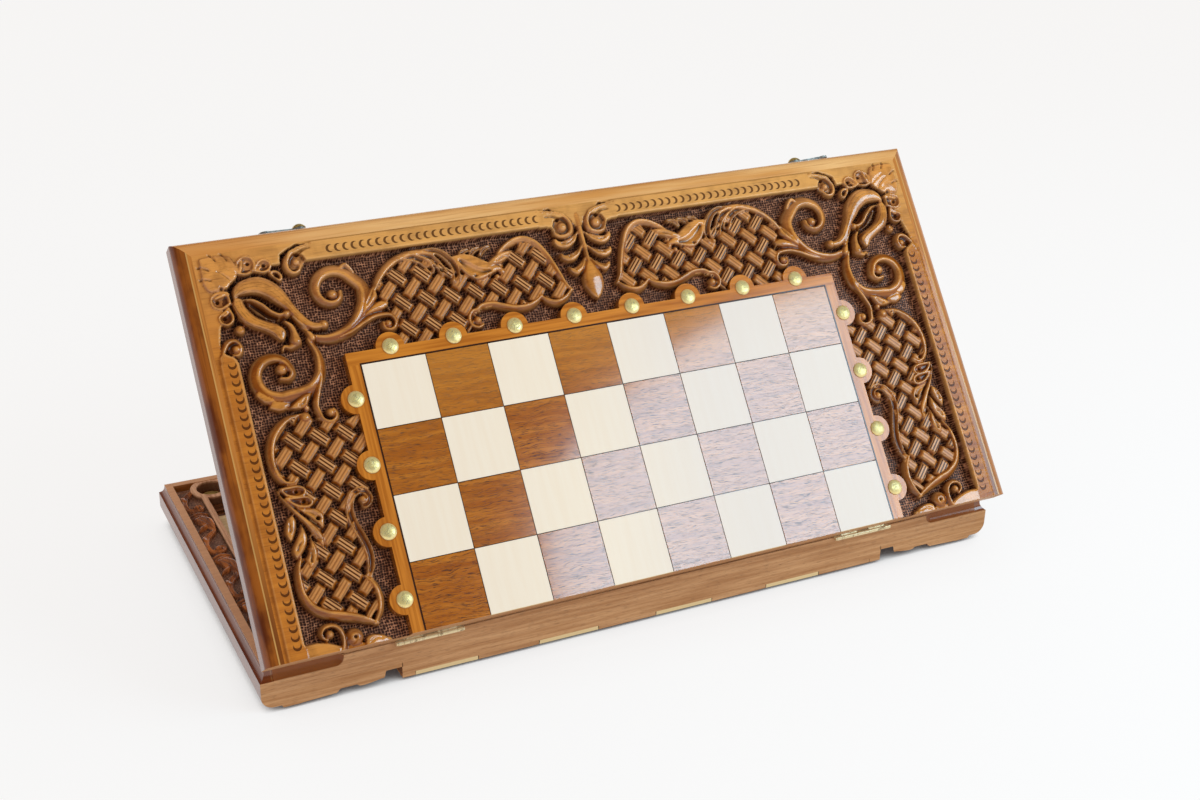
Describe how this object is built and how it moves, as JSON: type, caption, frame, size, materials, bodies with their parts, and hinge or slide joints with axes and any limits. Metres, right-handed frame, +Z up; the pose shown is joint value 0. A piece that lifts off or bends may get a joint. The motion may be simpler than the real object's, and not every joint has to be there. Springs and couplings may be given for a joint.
{
  "type": "folding games board",
  "caption": "Folding wooden chess and backgammon board with a deep carved border, inlaid squares, domed brass studs, brass hinges and steel hooks, standing half open.",
  "frame": {"origin": "middle of the board's footprint on the surface that it stands on", "axes": "+X along the hinge line, to the right as seen from the fold; +Y from the fold to the latch side; +Z up"},
  "size_m": [0.6, 0.3254, 0.2818],
  "materials": {
    "case_wood": "golden-brown lacquer, dark in the recesses",
    "fold_wood": "bare sanded tan wood, matt",
    "panel_wood": "brown stain, satin",
    "carved_wood": "golden-brown relief on a dark punched ground, satin",
    "strip_wood": "golden-brown lacquer",
    "dark_square": "dark walnut inlay, satin",
    "light_square": "cream maple inlay, satin",
    "stud_brass": "polished dome, worn crown",
    "inner_carving": "golden-brown relief on a dark punched ground, satin",
    "bar_wood": "bare sanded tan wood, matt",
    "disc_brass": "polished",
    "light_point": "pale inlay, satin",
    "dark_point": "dark stained inlay, satin",
    "hinge_brass": "brushed, slightly tarnished",
    "hook_steel": "aged grey",
    "screw_brass": "polished dome"
  },
  "bodies": {
    "base": {"base_fold_rail": "fold_wood", "base_back_rail": "case_wood", "base_left_rail": "case_wood", "base_right_rail": "case_wood", "base_panel": "panel_wood", "base_carved_back": "carved_wood", "base_carved_left": "carved_wood", "base_carved_right": "carved_wood", "base_square_frame": "strip_wood", "base_dark_squares": "dark_square", "base_light_squares": "light_square", "base_studs": "stud_brass", "base_end_carvings": "inner_carving", "base_bars": "bar_wood", "base_well_discs": "disc_brass", "base_light_points": "light_point", "base_dark_points": "dark_point", "base_hinge_leaves": "hinge_brass", "base_hinge_screws": "hinge_brass", "hinge_pins": "hinge_brass", "catch_pegs": "screw_brass"},
    "lid": {"lid_fold_rail": "fold_wood", "lid_back_rail": "case_wood", "lid_left_rail": "case_wood", "lid_right_rail": "case_wood", "lid_panel": "panel_wood", "lid_carved_back": "carved_wood", "lid_carved_left": "carved_wood", "lid_carved_right": "carved_wood", "lid_square_frame": "strip_wood", "lid_dark_squares": "dark_square", "lid_light_squares": "light_square", "lid_studs": "stud_brass", "lid_end_carvings": "inner_carving", "lid_bars": "bar_wood", "lid_well_discs": "disc_brass", "lid_light_points": "light_point", "lid_dark_points": "dark_point", "lid_hinge_leaves": "hinge_brass", "lid_hinge_screws": "hinge_brass", "hook_screws": "screw_brass", "hook_washers": "screw_brass"},
    "left_hook": {"left_hook": "hook_steel"},
    "right_hook": {"right_hook": "hook_steel"}
  },
  "joints": [
    {"name": "lid_fold", "type": "hinge", "parent": "base", "child": "lid", "pos_m": [0, -0.14017, 0.033], "axis": [1, 0, 0], "range_deg": [-51.5, 128.5]},
    {"name": "left_hook_turn", "type": "hinge", "parent": "lid", "child": "left_hook", "pos_m": [-0.206, 0.03563, 0.2765], "axis": [0, 0.6225, 0.7826], "range_deg": [-90, 60]},
    {"name": "right_hook_turn", "type": "hinge", "parent": "lid", "child": "right_hook", "pos_m": [0.206, 0.03563, 0.2765], "axis": [0, -0.6225, -0.7826], "range_deg": [-95, 55]}
  ]
}
